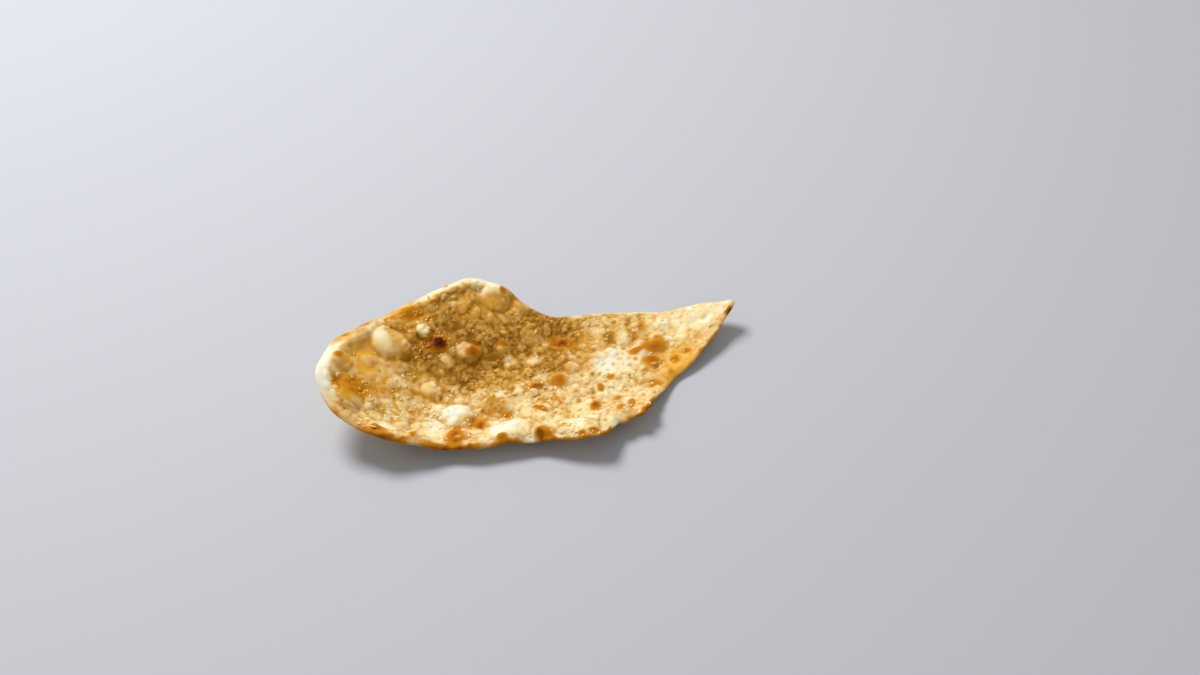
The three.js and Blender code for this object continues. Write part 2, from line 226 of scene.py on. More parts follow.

# How far the crust is baked, from 0, floury, through 0.3, cream, and 0.6, golden, to 1, deep.
# Deep golden in and round the hollow is partly painted shade, and some patches paint the glow
# inside the round end and the lit and shaded sides of the big bubble.
# Under 0 it stays floury when mottled. Patches are painted one over the other, broad ones first:
# x, y, half length, half width, way in degrees, how far baked or shaded.
PLAIN_BAKE = 0.4
BAKE_AND_SHADE_PATCHES = [
    (36, -14, 44, 34, 0, 0.39),  # the right side
    (-42, 22, 42, 26, 12, 0.93),  # the hollow under the back left side, deep baked and painted in shade
    (2, 33, 30, 22, 2, 0.92),
    (-25, 6, 46, 14, 6, 0.9),
    (-18, 28, 13, 12, 0, 0.85),
    (-46, 3, 11, 8, 0, 0.86),
    (-92, -10, 13, 22, -6, 0.34),  # inside the round end, kept light under the painted golden glow
    # These two paint the deeper golden of the glow of light through the thin dough.
    (-94, -27, 11, 11, 0, 0.66),
    (-86, -21, 11, 5, 14, 0.7),
    (-70, -22, 20, 14, -4, 0.46),
    (-78, -34, 14, 8, -10, 0.46),
    (-48, -14, 14, 7, 0, 0.66),
    (-92, -43, 14, 5, -28, 0.56),
    (-88, 5, 9, 10, -30, 0.5),
    (-64, 33, 28, 7, 38, 0.6),  # back left edge
    (-66, 29, 12, 6, 22, 0.44),
    (-45, 43, 12, 6, 35, 0.6),
    (-26, 46, 20, 9, 4, 0.75),  # back corner
    (-28, 53, 8, 3.6, -4, 0.32),
    (-10, 46, 9, 8, -20, 0.66),
    (1, 30, 8, 7, 0, 0.62),
    (46, 36, 22, 20, 20, 0.75),  # back right side, darker partly as painted shade
    (36, 43, 10, 10, 0, 0.54),
    (64, 44, 22, 12, 0, 0.46),
    # painted shade along the hollow
    (8, 11, 16, 11, 20, 0.96),
    (27, 13, 10, 12, 20, 0.62),
    (90, 42, 24, 12, 14, 0.16),
    (89, 32, 6, 6, 0, 0.42),
    (97, 33, 5, 14, -28, 0.36),
    (79, 14, 13, 22, -34, 0.52),  # front right edge
    (66, 0, 9, 12, 0, 0.56),
    (56, -26, 15, 8, 42, 0.38),  # torn edge
    (-28, -12, 22, 5, 8, 0.54),
    (-19, -20, 8.5, 8, 0, 0.74),
    (-28, -32, 6, 7, 10, 0.6),
    (-8, -6, 10, 4, 12, 0.56),
    # painted shade in the hollow
    (-30, -3, 12, 6, 10, 1),
    (15, -16, 12, 8, 20, 0.52),
    (-84, -48, 18, 6, -14, 0.5),  # front left edge
    (-42, -46, 16, 6, 0, 0.4),
    (-82.5, 13, 7, 8.5, -10, 0.2),  # big pale bubble: its lit left side painted pale as a highlight, its far side golden as painted shade
    (-71, 10, 7, 9, 0, 0.58),
    # painted shadow beside the big bubble
    (-65, 4, 7, 5, 0, 0.92),
    (-62, 21.5, 4.6, 3.6, 30, 0.26),
    (-47.8, 8, 3, 3.2, 0, 0.4),
    (-37, 16, 4.5, 4.5, 20, 0.5),
    (-13, 14.6, 3.4, 3.4, 20, 0.4),
    (-0.5, 16, 6, 5, 0, 0.44),
    (6, 2, 4.6, 2.6, 20, 0.3),
    (-54.6, -10.4, 5, 5.6, 0, 0.3),
    (-41.5, -25.5, 10, 10, 20, -0.1),  # white bubble
    (-50, -41, 10, 8, 0, 0.16),
    (-59, -37, 5, 5, 0, 0.2),
    (-76, -43, 5.5, 4.5, 0, 0.14),
    (-13, -40, 11, 9, 0, -0.06),
    (28, -34, 22, 14, 0, 0.27),
    (47, 16, 16, 11, 30, 0.05),
    (47, -10, 10, 14, 0, 0.28),
    (48, 30, 5, 9, -30, 0.22),
    (25, 2, 8, 5, 20, 0.36),
]

# Where butter has gone in and leaves the crust smooth, and where a golden glow is painted in
# for light through thin dough: as above, and how strongly.
BUTTER_AND_GLOW_PATCHES = [
    (-76, -20, 26, 26, 0, 0.48),
    (-93, -8, 14, 16, -8, 1),  # inside the round end, mostly painted glow
    (-93, -28, 10, 9, 0, 0.95),
    (-80, -20, 8, 4, 14, 0.4),
    (-66, 30, 17, 6, 26, 0.9),  # under the back left edge, partly painted glow
    (-26, 44, 20, 6.5, 4, 0.36),  # back corner
    # the big bubble's far side, golden as painted shade
    (-71, 10, 7, 8, 0, 0.5),
    (79, 13, 11, 24, -34, 0.85),  # front right edge
    (56, -28, 12, 6, 42, 0.25),
    (-88, -47, 16, 4, -22, 0.4),  # front left edge
    (100, 38, 4, 12, -28, 0.3),
]

# How rough the crust is and how thick with garlic: x, y, half length, half width, way, how rough.
SMOOTHEST = 0.1
ROUGH = [
    (-64, -24, 30, 18, -4, 1),  # the round end's front side
    (-14, -3, 38, 11, 16, 0.9),  # along the hollow
    (-48, 22, 32, 13, 8, 0.46),  # the back left side
    (16, -14, 15, 9, 20, 0.62),
    (38, 22, 12, 10, 0, 0.4),
]

# Where the crust is plain and smooth: x, y, half length, half width, way, how much so.
PLAIN = [(-24, 46, 17, 8, 0, 1)]  # back corner

# Where the baking is blotchy: x, y, half length, half width, way, and how much more than elsewhere.
BLOTCHY = [
    (-78, -33, 16, 9, -8, 1),
    (-72, -15, 16, 11, 0, 0.8),
    (56, 43, 12, 7, 0, 0.7),
    (20, -35, 18, 9, 0, 1),
    (-19, -9, 14, 5, 10, 1),
    (-24, 3, 13, 8, 0, 0.6),
    (48, -12, 10, 14, 0, 0.5),
]

# Noise that moves a pattern about: reach and size in millimetres, and the seeds for x and for y.
BAKE_WARP = [(2.2, 11, 53, 55), (1.1, 4.5, 54, 56)]
BUTTER_GLOW_WARP = [(1.6, 8, 58, 60), (0.8, 3.5, 59, 61)]
SCORCH_WARP = [(0.4, 2.6, 31, 33), (0.6, 5.5, 32, 34)]
BLISTER_WARP = [(1.1, 9, 3, 4), (0.3, 4, 5, 6)]
CRUMB_WARP = [(0.45, 1.8, 11, 12)]
UNDERSIDE_WARP = [(1.1, 4, 44, 45)]

# Noise that is added up: strength, size in millimetres and seed.
GRAIN = [(0.16, 2.4, 7), (0.1, 1.3, 8)]
SWELLING = [(0.3, 7.5, 9)]
DENTS = [(0.05, 5, 10)]
RIM_BUMPS = [(0.35, 9, 21)]
RIM_WANDER = [(0.6, 5, 57)]
BROWNED_BREAKS = [(0.7, 7, 35)]
BROWNED_WANDER = [(0.8, 3, 36)]
CLUMPS = [(1, 11, 63), (0.5, 5, 64)]
SPECKLES = [(0.045, 2.2, 52)]
UNDERSIDE_GRAIN = [(0.25, 6, 41), (0.15, 2.5, 42)]
UNDERSIDE_BAKE = [(0.2, 14, 46), (-0.12, 6, 47)]
NOISE_CELLS = 256
NOISE_TURN = 37.0  # each seed's pattern is turned by this many degrees more

# The shallow folds: lean, length as times the width, width in millimetres and seed.
FOLDS = (0.12, 4, 5.5, 65)
FOLD_HEIGHT = 0.45
# How much paler fold tops and darker fold troughs are painted, as painted light and shade.
FOLD_LIGHT_AND_SHADE = 0.2

# Domes scattered between the blisters: seed, count, reach, how far the reaches lean to the small,
# height as a share of the reach, and how far they are stretched.
SMALL_BUBBLES = [
    (11, 520, (1.7, 3.6), 1.8, (0.14, 0.3), 1.7),
    (12, 2600, (0.9, 1.9), 1.8, (0.16, 0.36), 1.7),
]
BUBBLE_STEEPNESS = 0.75
# Minced garlic baked in under a film of butter shows as steep low lumps of the crust.
CRUMBS = (13, 2400, (1.1, 2.7), 1.5, (0.24, 0.46), 1.9)
CRUMB_TRIES = 8  # places tried for each lump that is kept
CRUMB_STEEPNESS = 0.5
CRUMBS_LARGER = 0.35  # where the baking is blotchy
BETWEEN_CLUMPS = 0.12  # how likely small garlic is there, as a share

SKIN_SMOOTHS = 0.92  # how much less rough stretched skin is
BUTTER_SMOOTHS = 0.45
EDGE_SMOOTH = 3.6  # how far in from the edge the relief fades, in millimetres

# A place is in a hollow if it lies lower than a circle of points round it, in millimetres.
HOLLOW_REACH = 2.2
HOLLOW_POINTS = 6
FULL_HOLLOW = 0.5
HOLLOW_SHADE = 0.26  # how much darker hollows and paler lumps are painted, as painted shade

UNDERSIDE_SEED = 43
UNDERSIDE_SPOTS = 60

# A repeatable run of numbers from 0 to 1.
DRAW_FACTOR = 1664525
DRAW_STEP = 1013904223
DRAW_RANGE = 4294967296
EVEN_STEP = (0.7548776662, 0.569840291)  # steps of the plastic number spread points evenly

# The garlic chips: the large ones are in the solid too. Width and height are shares of the length.
GARLIC_SEED = 77
GARLIC_BAND = (16, -6, 28)  # its way in degrees, how far it lies off, its half width
GARLIC_ELSEWHERE = 0.35
GARLIC_LARGE = 94
GARLIC_LENGTH = (5.6, 3.6)
GARLIC_WIDTH = (0.6, 1.0)
GARLIC_HEIGHT = (0.38, 0.62)
GARLIC_SINK = 0.14
GARLIC_SPREAD = 0.96
SMALL_GARLIC_SEED = 62
SMALL_GARLIC_TRIES = 12
SMALL_GARLIC_LEAN = 1.2
CHIP_SEED = 61

# A chip is a ball with flat cuts, of some kinds.
LUMP_KINDS = 12
LUMP_SEED = 70
LUMP_CUTS = 7

# How brown a chip is: from the crust under it, its painted shade included, from scorching, by
# chance, and less on its top.
TOAST_CRUST = 0.8
TOAST_SCORCH = 1.4  # times the crust's
TOAST_CHANCE = 0.25
TOAST_TOP = 0.24

# The colour sockets of a Mix node.
MIX_FIRST, MIX_SECOND, MIX_RESULT = 6, 7, 2

# The camera and the lights, in millimetres and degrees.
VIEW_SIZE = (1200, 675)
CAMERA_AIM = (36.3, 35.8, -1.0)
CAMERA_RISE = 45.0
LENS = 50.0
SENSOR = 36.0
NEAREST_SEEN = 10.0
MM_PER_PIXEL = 0.56
FLOOR_GAP = 0.2  # keeps the floor clear of the flat of the underside
KEY_COLOUR = (1.0, 0.985, 0.935)
SKY_COLOUR = (1.0, 0.985, 0.95, 1.0)


def drawer(seed):
    """Gives a function that draws the next number of a seeded run."""
    state = seed

    def draw():
        nonlocal state
        state = (state * DRAW_FACTOR + DRAW_STEP) % DRAW_RANGE
        return state / DRAW_RANGE

    return draw


def smoothstep(low, high, value):
    t = np.clip((value - low) / (high - low), 0, 1)
    return t * t * (3 - 2 * t)


def mix(pair, share):
    return pair[0] + (pair[1] - pair[0]) * share


def along(x, y, degrees):
    angle = math.radians(degrees)
    return x * math.cos(angle) + y * math.sin(angle)


def noise(x, y, size, seed):
    """Smooth random lumps from -1 to 1, about size millimetres across."""
    cells = NOISE_CELLS
    table = np.random.RandomState(seed).uniform(-1, 1, (cells, cells))
    u = along(x, y, seed * NOISE_TURN) / size
    v = along(x, y, seed * NOISE_TURN + 90) / size
    iu, iv = np.floor(u).astype(int), np.floor(v).astype(int)
    fu, fv = (f**3 * (f * (f * 6 - 15) + 10) for f in (u - iu, v - iv))
    near, far = (
        mix((table[iu % cells, row % cells], table[(iu + 1) % cells, row % cells]), fu)
        for row in (iv, iv + 1)
    )
    return mix((near, far), fv)


def layered(x, y, layers, base=0.0):
    """Noise on a base, in layers that each have a strength, a size and a seed."""
    for strength, size, seed in layers:
        base = base + strength * noise(x, y, size, seed)
    return base


def warped(x, y, layers):
    """Places moved by noise, in layers that each have a reach, a size and two seeds."""
    moved_x, moved_y = x, y
    for reach, size, seed_x, seed_y in layers:
        moved_x = moved_x + reach * noise(x, y, size, seed_x)
        moved_y = moved_y + reach * noise(x, y, size, seed_y)
    return moved_x, moved_y


def waves_at(waves, turned):
    return sum(height * np.sin(2 * np.pi * count * turned + turn) for height, count, turn in waves)


class Outline:
    """The outline as a smooth closed curve, measured along its length."""

    def __init__(self):
        points = np.array(OUTLINE, float)
        t = np.linspace(0, 1, OUTLINE_STEPS + 1) * len(points)
        i = np.floor(t).astype(int) % len(points)
        w = (t - np.floor(t))[:, None]
        before, start, end, after = (points[(i + k) % len(points)] for k in (-1, 0, 1, 2))
        out = 0.5 * (end - before)
        into = 0.5 * (after - start)
        self.curve = (
            start
            + out * w
            + (-3 * start + 3 * end - 2 * out - into) * w**2
            + (2 * start - 2 * end + out + into) * w**3
        )
        steps = np.hypot(*np.diff(self.curve, axis=0).T)
        self.length = np.concatenate([[0], np.cumsum(steps)])

    def smooth_at(self, turned):
        way = (turned % 1.0) * self.length[-1]
        return [np.interp(way, self.length, self.curve[:, k]) for k in (0, 1)]

    def at(self, turned):
        """The edge's x and y at shares of the way round, and its unit run there."""
        ax, ay = self.smooth_at(turned - RUN_STEP)
        bx, by = self.smooth_at(turned + RUN_STEP)
        run = np.hypot(bx - ax, by - ay)
        run_x, run_y = (bx - ax) / run, (by - ay) / run
        turned = turned % 1.0
        start, end = TORN_EDGE
        torn = np.sin(np.pi * np.clip((turned - start) / (end - start), 0, 1))
        offset = waves_at(EDGE_WAVES, turned) + torn * waves_at(TORN_WAVES, turned)
        x, y = self.smooth_at(turned)
        return x + offset * run_y, y - offset * run_x, run_x, run_y


OUTLINE_CURVE = Outline()


class Place:
    """Places on the sheet: x and y, the distance from the edge, and the share of the way round."""

    def __init__(self, x, y, inside, turned):
        self.x, self.y, self.inside, self.turned = x, y, inside, turned

    @classmethod
    def of_square(cls, across, up):
        """Takes points of a square, each way from -1 to 1, to the sheet seen from above."""
        u = across * np.sqrt(1 - up * up / 2)
        v = up * np.sqrt(1 - across * across / 2)
        share = np.minimum(1, np.hypot(u, v))
        turned = (np.arctan2(v, u) / (2 * np.pi)) % 1.0
        edge_x, edge_y, run_x, run_y = OUTLINE_CURVE.at(turned)
        spoke_x, spoke_y = edge_x - MIDDLE[0], edge_y - MIDDLE[1]
        squareness = np.abs(spoke_x * run_y - spoke_y * run_x)
        return cls(
            MIDDLE[0] + spoke_x * share,
            MIDDLE[1] + spoke_y * share,
            (1 - share) * squareness,
            turned,
        )

    def moved(self, dx, dy):
        return Place(self.x + dx, self.y + dy, self.inside, self.turned)


def sag(place):
    """How high the underside hangs over the floor."""
    rise = 0
    for faces, start, slope, soft in SIDES:
        out = along(place.x - HOLLOW[0], place.y - HOLLOW[1], faces)
        rise = rise + slope * soft * np.logaddexp(0, (out - start) / soft)
    waves = sum(
        height * np.sin(2 * np.pi * along(place.x, place.y, faces) / length + turn)
        for height, length, faces, turn in WAVES
    )
    wavy = 1 - smoothstep(0, WAVES_REACH, place.inside)
    over = rise + wavy * waves - FLAT_DEPTH
    return 0.5 * (over + np.hypot(over, FLAT_SOFT)) - SETTLE


def facing(place):
    """The way the sheet faces, as an array of unit vectors."""
    here = sag(place)
    slope_x = (sag(place.moved(SLOPE_STEP, 0)) - here) / SLOPE_STEP
    slope_y = (sag(place.moved(0, SLOPE_STEP)) - here) / SLOPE_STEP
    out = np.stack([-slope_x, -slope_y, np.ones_like(slope_x)], -1)
    return out / np.linalg.norm(out, axis=-1, keepdims=True)


def half_thickness(place, sheet):
    """Half of the dough's thickness, which is rounded off at the edge and swells at the rim."""
    near = np.minimum(1, place.inside / sheet.edge_round_mm)
    rounding = np.sqrt(1 - (1 - near) ** 2)
    puffed = 1 - smoothstep(*PUFFED_TO, place.x)
    end = 1 - smoothstep(*ROUND_END_TO, place.x)
    crest = RIM_CREST + END_CREST * end
    width = np.where(place.inside > crest, RIM_WIDTH + END_WIDTH * end, RIM_WIDTH)
    swell = np.exp(-(((place.inside - crest) / width) ** 2))
    uneven = layered(place.turned * EDGE_LENGTH, 0 * place.turned, RIM_BUMPS, 1)
    rolled = sheet.rim_swell_mm * puffed + sheet.end_swell_mm * end
    return 0.5 * rounding * (sheet.thickness_mm + rolled * swell * uneven)


def dough_at(place, sheet):
    """The middle of the dough, the way that it faces, and half of its thickness."""
    middle = np.stack([place.x, place.y, sag(place) + sheet.thickness_mm / 2], -1)
    return middle, facing(place), half_thickness(place, sheet)


def all_blisters():
    """The blisters that stand out, and the lesser ones, scattered by the solid's own rule."""
    draw = drawer(BLISTER_SEED)
    blisters = list(BLISTERS)
    for _ in range(LESSER_BLISTERS):
        across = SPREAD * (2 * draw() - 1)
        up = SPREAD * (2 * draw() - 1)
        reach = mix(LESSER_REACH, draw() ** 2)
        height = reach * mix(LESSER_HEIGHT, draw())
        place = Place.of_square(np.array([across]), np.array([up]))
        blisters.append((place.x[0], place.y[0], reach, height))
    return blisters


def domes(x, y, bubbles, steepness):
    """The height of the highest of many domes, each x, y, reach, height, stretch and way."""
    highest = np.zeros_like(x)
    by_x = np.argsort(x)
    sorted_x = x[by_x]
    for cx, cy, reach, height, stretch, way in bubbles:
        first, last = np.searchsorted(sorted_x, (cx - reach * stretch, cx + reach * stretch))
        close = by_x[first:last]
        close = close[np.abs(y[close] - cy) < reach * stretch]
        dx, dy = x[close] - cx, y[close] - cy
        u = along(dx, dy, way) / stretch
        v = along(dx, dy, way + 90)
        near = 1 - (u * u + v * v) / reach**2
        lift = np.where(near > 0, height * np.maximum(near, 0) ** steepness, 0)
        highest[close] = np.maximum(highest[close], lift)
    return highest


def way_out(x, y, patch):
    """How far places lie out of the middle of an oval patch, where 1 is its border."""
    cx, cy, half_long, half_wide, way = patch
    u = along(x - cx, y - cy, way) / half_long
    v = along(x - cx, y - cy, way + 90) / half_wide
    return np.hypot(u, v)


def soft_oval(x, y, patch):
    """1 in the middle of an oval patch, fading to 0 round it."""
    return 1 - smoothstep(0.45, 1.3, way_out(x, y, patch))


def strongest(x, y, patches, least=0.0):
    """The strength of the strongest of many patches, and at least what is given."""
    highest = np.full_like(x, least)
    for *patch, strength in patches:
        highest = np.maximum(highest, strength * soft_oval(x, y, patch))
    return highest


def window(turned, start, end):
    """1 on a stretch of the way round, fading to 0 at its ends."""
    ended = smoothstep(end - 0.008, end + 0.012, turned)
    return smoothstep(start - 0.012, start + 0.008, turned) * (1 - ended)


def bake_and_shade_at(x, y):
    """How far the crust is baked, and the shade and glow painted into it."""
    x, y = warped(x, y, BAKE_WARP)
    bake_and_shade = np.full_like(x, PLAIN_BAKE)
    for *patch, level in BAKE_AND_SHADE_PATCHES:
        bake_and_shade = mix((bake_and_shade, level), soft_oval(x, y, patch))
    return bake_and_shade


def blotches_at(x, y, bake_and_shade):
    """How much more or less the crust is baked from one blotch to the next."""
    blotchy = 1 + strongest(x, y, BLOTCHY)
    broad = 0.13 * np.clip(1.2 - bake_and_shade, 0.2, 1) * mix((1, blotchy), 0.5) * noise(x, y, 8, 66)
    fine = (0.06 + 0.08 * np.clip(1 - bake_and_shade, 0, 1)) * blotchy * noise(x, y, 5, 51)
    return layered(x, y, SPECKLES, broad + fine)


def butter_and_glow_at(x, y):
    """How much butter has gone in, and how much golden glow is painted in."""
    return strongest(*warped(x, y, BUTTER_GLOW_WARP), BUTTER_AND_GLOW_PATCHES)


def folds_at(x, y):
    """Shallow folds that run up the back right side, from -1 to 1."""
    lean, length, *kind = FOLDS
    back = smoothstep(12, 28, y) * smoothstep(8, 24, x) * (1 - smoothstep(70, 95, x))
    return back * noise(x + lean * y, y / length, *kind)


def garlic_at(x, y):
    """How thickly the garlic lies, as a share: most of it is in a band along the hollow."""
    way, offset, reach = GARLIC_BAND
    across = along(x, y, way + 90) - offset
    return mix((GARLIC_ELSEWHERE, 1), np.exp(-((across / reach) ** 2)))


def stands_at(x, y):
    """1 on the tops of the standing blisters and 0 off them."""
    tops = domes(x, y, [(bx, by, reach, 1.0, 1.0, 0.0) for bx, by, reach, _ in BLISTERS], 1.0)
    return smoothstep(0.1, 0.5, tops)


def rough_at(x, y):
    """How rough the crust is and how thick with garlic, from 0 to 1.

    Dough that is stretched smooth, on pale patches and standing blisters, is hardly so at all.
    """
    smooth = np.maximum(1 - smoothstep(0.05, 0.3, bake_and_shade_at(x, y)), stands_at(x, y))
    smooth = np.maximum(smooth, strongest(x, y, PLAIN))
    return strongest(x, y, ROUGH, SMOOTHEST) * (1 - SKIN_SMOOTHS * smooth)


def small_garlic_at(x, y):
    """How likely a small piece of garlic lies there, in a clump or between the clumps."""
    clumped = smoothstep(-0.45, 0.5, layered(x, y, CLUMPS))
    return rough_at(x, y) * mix((BETWEEN_CLUMPS, 1), clumped)


def scorch_at(place):
    """How strongly the crust is scorched, from 0 to 1."""
    x, y = place.x, place.y
    warped_x, warped_y = warped(x, y, SCORCH_WARP)
    scorch = np.zeros_like(x)
    for *patch, strength, ring in SCORCHES:
        out = way_out(warped_x, warped_y, patch)
        spot = strength * (1 - smoothstep(0.2, 1.3, out))
        spot = spot * (1 - ring * (1 - smoothstep(0.1, 0.6, out)))
        scorch = np.maximum(scorch, spot)
    way = place.turned * OUTLINE_CURVE.length[-1]
    breaks = layered(way, 0 * x, BROWNED_BREAKS, 0.7)
    inside = layered(x, y, BROWNED_WANDER, place.inside)
    for start, end, strength, width in BROWNED_EDGES:
        edge = strength * window(place.turned, start, end) * breaks
        scorch = np.maximum(scorch, edge * (1 - smoothstep(0, 1, inside / width)))
    return scorch


def scattered(random, spread, count):
    """Random places on the sheet, up to a share of the way to its edge."""
    return Place.of_square(*random.uniform(-spread, spread, (2, count)))


def drawn_domes(random, x, y, kind, larger, higher):
    """Draws a dome of a kind for each place."""
    reaches, lean, heights, stretches = kind
    reach = mix(reaches, random.uniform(0, 1, len(x)) ** lean) * larger
    height = reach * mix(heights, random.uniform(0, 1, len(x))) * higher
    stretch = random.uniform(1, stretches, len(x))
    way = random.uniform(0, 180, len(x))
    return list(zip(x, y, reach, height, stretch, way))


def scattered_crumbs():
    """The lumps of garlic under the crust's film of butter."""
    seed, count, *kind = CRUMBS
    random = np.random.RandomState(seed)
    place = scattered(random, 0.97, CRUMB_TRIES * count)
    likely = small_garlic_at(place.x, place.y)
    kept = np.flatnonzero(random.uniform(0, 1, CRUMB_TRIES * count) < likely)[:count]
    x, y = place.x[kept], place.y[kept]
    return drawn_domes(random, x, y, kind, 1 + CRUMBS_LARGER * strongest(x, y, BLOTCHY), 1)


def scattered_bubbles():
    """The small bubbles, high in the rough parts and low on the smooth ones."""
    bubbles = []
    for seed, count, *kind in SMALL_BUBBLES:
        random = np.random.RandomState(seed)
        place = scattered(random, 0.985, count)
        rough = rough_at(place.x, place.y)
        bubbles += drawn_domes(random, place.x, place.y, kind, 1, rough)
    return bubbles


class Crust:
    """The relief of the crust, worked out at places on the sheet."""

    def __init__(self):
        blisters = [(*blister, 1.0, 0.0) for blister in all_blisters()]
        self.blisters = blisters[: len(BLISTERS)]
        self.lesser_blisters = blisters[len(BLISTERS) :]
        self.bubbles = scattered_bubbles()
        self.crumbs = scattered_crumbs()

    def garlic_lumps(self, x, y):
        """The height of the garlic under the butter."""
        return domes(*warped(x, y, CRUMB_WARP), self.crumbs, CRUMB_STEEPNESS)

    def paler_lumps(self, x, y):
        """1 on every other lump of that garlic and 0 on the rest."""
        one, other = (domes(x, y, self.crumbs[first::2], CRUMB_STEEPNESS) for first in (0, 1))
        return smoothstep(-0.12, 0.12, one - other)

    def relief(self, place):
        """The height of the crust over smooth dough, in millimetres."""
        x, y = place.x, place.y
        warped_x, warped_y = warped(x, y, BLISTER_WARP)
        blister = domes(warped_x, warped_y, self.blisters, BLISTER_STEEPNESS)
        lesser = domes(warped_x, warped_y, self.lesser_blisters, BLISTER_STEEPNESS)
        bubble = domes(x, y, self.bubbles, BUBBLE_STEEPNESS)
        calm = mix((0.2, 1), rough_at(x, y))
        still = 1 - BUTTER_SMOOTHS * butter_and_glow_at(x, y)
        grain = layered(x, y, GRAIN)
        swell = layered(x, y, SWELLING) + FOLD_HEIGHT * folds_at(x, y)
        fading = smoothstep(0, EDGE_SMOOTH, place.inside)
        lumps = np.maximum(bubble, self.garlic_lumps(x, y))
        blister = np.maximum(blister, lesser * still) * layered(x, y, DENTS, 1)
        return (blister + (lumps + grain * calm + swell) * still) * fading


def to_frame(points):
    """From the outline's millimetres to the part's frame, in metres."""
    return (points - np.array(FRAME_SHIFT)) * MM


def move_vertices(piece, points):
    piece.data.vertices.foreach_set("co", np.ascontiguousarray(points, dtype=np.float32).ravel())
    piece.data.update()


def vertex_array(piece):
    points = np.empty(len(piece.data.vertices) * 3, np.float32)
    piece.data.vertices.foreach_get("co", points)
    return points.reshape(-1, 3).astype(float)


def paint(piece, name, values):
    """Keeps a number for each vertex, which the materials read."""
    layer = piece.data.attributes.new(name, "FLOAT", "POINT")
    layer.data.foreach_set("value", np.clip(values, 0, 1).astype(np.float32))


def add_square_grid(name, columns, rows, halved):
    """A flat square grid from -1 to 1 whose four corner cells are cut into four triangles.

    A halved grid has half as many cells each way, with the same number of vertices on its border.
    """
    if halved:
        columns, rows = columns // 2, rows // 2
    bpy.ops.object.select_all(action="DESELECT")
    bpy.ops.mesh.primitive_grid_add(x_subdivisions=columns, y_subdivisions=rows, size=2)
    piece = bpy.context.object
    piece.name = name
    piece.data.name = name
    bpy.ops.object.mode_set(mode="EDIT")
    bpy.ops.mesh.select_mode(type="FACE")
    bpy.ops.mesh.select_all(action="DESELECT")
    bpy.ops.object.mode_set(mode="OBJECT")
    for corner in (0, columns - 1, -columns, -1):
        piece.data.polygons[corner].select = True
    bpy.ops.object.mode_set(mode="EDIT")
    bpy.ops.mesh.poke()
    if halved:
        bpy.ops.mesh.select_mode(type="EDGE")
        bpy.ops.mesh.select_all(action="DESELECT")
        bpy.ops.mesh.select_non_manifold()
        bpy.ops.mesh.subdivide(number_cuts=1, ngon=False)
    bpy.ops.object.mode_set(mode="OBJECT")
    return piece


def crowded(even):
    """Moves the points of an even row from -1 to 1 towards its ends."""
    return even * (1 + CROWDING * (1 - even * even))


class NaanSheet(bpy.types.PropertyGroup):
    """The baked sheet of dough."""

    thickness_mm: FloatProperty(
        name="Thickness",
        description="Thickness of the dough between blisters, in millimetres",
        default=3.0,
    )
    edge_round_mm: FloatProperty(
        name="Edge rounding",
        description="Width over which the edge rounds off, in millimetres",
        default=3.6,
    )
    rim_swell_mm: FloatProperty(
        name="Rim swelling",
        description="Extra thickness of the puffed rim, in millimetres",
        default=1.8,
    )
    end_swell_mm: FloatProperty(
        name="Round end's swelling",
        description="What the round end's rim has over that, in millimetres",
        default=1.4,
    )
    cells_long: IntProperty(
        name="Cells along", description="Cells of the crust along the sheet", default=392
    )
    cells_across: IntProperty(
        name="Cells across", description="Cells of the crust across the sheet", default=196
    )
    floury: StringProperty(name="Floury", description="Colour of floury dough", default="#FFF4E0")
    cream: StringProperty(name="Cream", description="Colour of plain crust", default="#F2DA9B")
    biscuit: StringProperty(name="Biscuit", description="Colour of dry crust", default="#E5C48E")
    golden: StringProperty(name="Golden", description="Colour of buttered crust", default="#DAA74F")
    # Deep golden is both the deepest baked crust and painted shade in the hollow.
    deep: StringProperty(name="Deep golden", description="Colour of hollows", default="#8A5E09")
    # Butter's colour is also the painted glow of light through thin dough.
    butter: StringProperty(name="Butter", description="Colour that butter adds", default="#F0B42C")
    tan: StringProperty(name="Tan", description="Colour of light scorching", default="#CE8716")
    amber: StringProperty(name="Amber", description="Colour of scorching", default="#B26A0A")
    brown: StringProperty(name="Brown", description="Colour of deep scorching", default="#84400A")
    char: StringProperty(name="Char", description="Colour of burnt crust", default="#541909")


class GarlicChips(bpy.types.PropertyGroup):
    """The minced garlic."""

    count: IntProperty(name="Chips", description="Number of garlic chips", default=880)
    smallest_mm: FloatProperty(
        name="Smallest", description="Length of the smallest chip, in millimetres", default=2.1
    )
    pale: StringProperty(name="Pale", description="Colour of soft garlic", default="#F9E7B6")
    toasted: StringProperty(name="Toasted", description="Colour of crisp garlic", default="#E8B650")
    brown: StringProperty(name="Brown", description="Colour of browned garlic", default="#BC8434")


class StageSettings(bpy.types.PropertyGroup):
    """The floor, the lights and the camera."""

    floor: StringProperty(name="Floor", description="Colour of the floor", default="#C3C6D1")
    floor_size: FloatProperty(
        name="Floor size", description="Width of the floor", default=6.0, unit="LENGTH"
    )
    key_power: FloatProperty(
        name="Key light", description="Power of the main light, in watts", default=22.5
    )
    key_turn: FloatProperty(
        name="Key light's way",
        description="Where it stands, from +X",
        default=math.radians(132),
        subtype="ANGLE",
    )
    key_rise: FloatProperty(
        name="Key light's rise",
        description="How high it stands",
        default=math.radians(54),
        subtype="ANGLE",
    )
    key_distance: FloatProperty(
        name="Key light's distance",
        description="Distance from the bread",
        default=1.6,
        unit="LENGTH",
    )
    key_size: FloatProperty(
        name="Key light's size", description="Width of the main light", default=0.65, unit="LENGTH"
    )
    sky_strength: FloatProperty(
        name="Soft light", description="Strength of the even light from all round", default=0.38
    )


